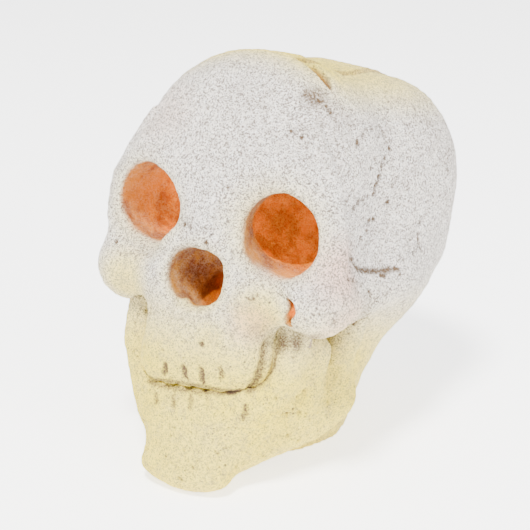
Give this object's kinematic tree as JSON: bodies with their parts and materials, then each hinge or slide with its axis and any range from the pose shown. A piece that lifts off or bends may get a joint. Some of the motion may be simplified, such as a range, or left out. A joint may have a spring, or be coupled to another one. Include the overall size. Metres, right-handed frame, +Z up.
{
  "type": "ceramic skull ornament",
  "caption": "Hollow life-size ceramic skull cast in bonded sections, with open eye sockets, nose and neck, standing on its chin and the flat rim of its neck.",
  "frame": {"origin": "middle of the bounding box at ground level, where the skull stands", "axes": "+Z up; the face looks along -Y; +X to the skull's own left"},
  "size_m": [0.1438, 0.2069, 0.1922],
  "materials": {
    "ceramic": "matte, sandy, unglazed",
    "mortar": "matte, coarse",
    "steel": "scaled"
  },
  "bodies": {
    "root": {"face_casting": "ceramic", "left_rear_casting": "ceramic", "right_rear_casting": "ceramic", "lower_jaw_casting": "ceramic", "coronal_mortar": "mortar", "crown_mortar": "mortar", "throat_mortar": "mortar", "tooth_line_mortar": "mortar", "left_jaw_mortar": "mortar", "right_jaw_mortar": "mortar", "coronal_rod": "steel", "crown_rod": "steel", "left_jaw_dowel": "steel", "right_jaw_dowel": "steel"}
  },
  "joints": []
}
